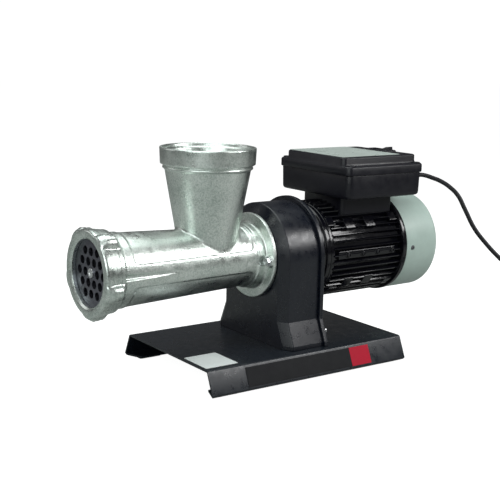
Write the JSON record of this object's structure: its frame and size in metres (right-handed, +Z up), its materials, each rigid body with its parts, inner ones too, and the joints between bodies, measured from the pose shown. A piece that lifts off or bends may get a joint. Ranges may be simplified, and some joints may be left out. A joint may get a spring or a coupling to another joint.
{
  "type": "electric meat grinder",
  "caption": "Electric meat grinder: tinned cutting head with hopper, gearbox pedestal on a bent sheet base, fan-cooled motor with a switch box and mains lead.",
  "frame": {"origin": "on the surface that the grinder stands on, midway between the ring nut's face and the fan cover's end, without the mains lead", "axes": "-Y is where the meat comes out, +Y the motor's end, +Z up, +X the side with the label strip"},
  "size_m": [0.4304, 0.7252, 0.3237],
  "materials": {
    "tinned_iron": "tinned casting, bright, with a fine pebbled skin",
    "black_casting": "satin black paint over a casting",
    "black_sheet": "satin black powder coat on bent sheet",
    "black_motor": "gloss black paint",
    "fan_cover_paint": "satin light grey-green paint on thin sheet",
    "black_plastic": "satin moulded plastic",
    "black_rubber": "matt rubber",
    "steel": "zinc-plated fasteners",
    "hard_steel": "ground steel",
    "core_steel": "laminated steel",
    "copper_winding": "varnished copper wire",
    "capacitor_shell": "moulded plastic can",
    "nameplate": "pale printed film",
    "white_label": "white film sticker",
    "dark_label": "gloss dark film strip",
    "red_label": "gloss red film"
  },
  "bodies": {
    "frame": {"grinder_body": "tinned_iron", "gearbox_housing": "black_casting", "gearbox_cover": "black_casting", "base_plate": "black_sheet", "front_end_shield": "black_motor", "motor_frame": "black_motor", "rear_end_shield": "black_motor", "fan_cover": "fan_cover_paint", "terminal_box": "black_plastic", "box_lid": "black_plastic", "switch_bezel": "black_plastic", "terminal_block": "black_plastic", "cable_gland": "black_plastic", "coil_tie": "black_plastic", "foot_pad_front_left": "black_rubber", "foot_pad_front_right": "black_rubber", "foot_pad_rear_left": "black_rubber", "foot_pad_rear_right": "black_rubber", "oil_seal": "black_rubber", "strain_relief": "black_rubber", "cord": "black_rubber", "cord_coil": "black_rubber", "cord_tail": "black_rubber", "plug": "black_rubber", "head_bolt_left": "steel", "head_bolt_right": "steel", "cover_screw_left": "steel", "cover_screw_right": "steel", "pedestal_bolt_left": "steel", "pedestal_bolt_right": "steel", "fan_cover_screw": "steel", "plate_key": "hard_steel", "output_bearing_front": "hard_steel", "output_bearing_rear": "hard_steel", "layshaft_bearing_front": "hard_steel", "layshaft_bearing_rear": "hard_steel", "motor_bearing_front": "hard_steel", "motor_bearing_rear": "hard_steel", "stator_core": "core_steel", "winding_front": "copper_winding", "winding_rear": "copper_winding", "capacitor": "capacitor_shell", "lid_nameplate": "nameplate", "rating_sticker": "white_label", "label_strip": "dark_label", "red_badge": "red_label"},
    "drive_line": {"output_shaft": "hard_steel", "output_gear": "hard_steel", "auger": "tinned_iron", "knife": "hard_steel"},
    "layshaft_set": {"layshaft": "hard_steel", "layshaft_gear": "hard_steel", "layshaft_pinion": "hard_steel"},
    "rotor": {"motor_shaft": "steel", "motor_pinion": "hard_steel", "rotor_core": "core_steel", "cooling_fan": "black_plastic"},
    "plate": {"cutting_plate": "hard_steel"},
    "ring": {"ring_nut": "tinned_iron"},
    "rocker": {"switch_rocker": "black_plastic"}
  },
  "joints": [
    {"name": "auger_spin", "type": "hinge", "parent": "frame", "child": "drive_line", "pos_m": [0, 0, 0.163], "axis": [0, 1, 0], "continuous": true},
    {"name": "layshaft_spin", "type": "hinge", "parent": "frame", "child": "layshaft_set", "pos_m": [0, 0, 0.1105], "axis": [0, 1, 0], "continuous": true},
    {"name": "rotor_spin", "type": "hinge", "parent": "frame", "child": "rotor", "pos_m": [0, 0, 0.163], "axis": [0, 1, 0], "continuous": true},
    {"name": "plate_slide", "type": "slide", "parent": "frame", "child": "plate", "axis": [0, -1, 0], "range_m": [0, 0.0165]},
    {"name": "ring_turn", "type": "hinge", "parent": "plate", "child": "ring", "pos_m": [0, -0.26, 0.163], "axis": [0, -1, 0], "range_deg": [0, 1440]},
    {"name": "switch_rock", "type": "hinge", "parent": "frame", "child": "rocker", "pos_m": [0.005, 0.22135, 0.3069], "axis": [0, 1, 0], "range_deg": [0, 20]}
  ],
  "couplings": [
    {"joint": "layshaft_spin", "follows": "auger_spin", "ratio": -3},
    {"joint": "rotor_spin", "follows": "auger_spin", "ratio": 9.8571},
    {"joint": "plate_slide", "follows": "ring_turn", "m_per_rad": 0.00063662}
  ]
}
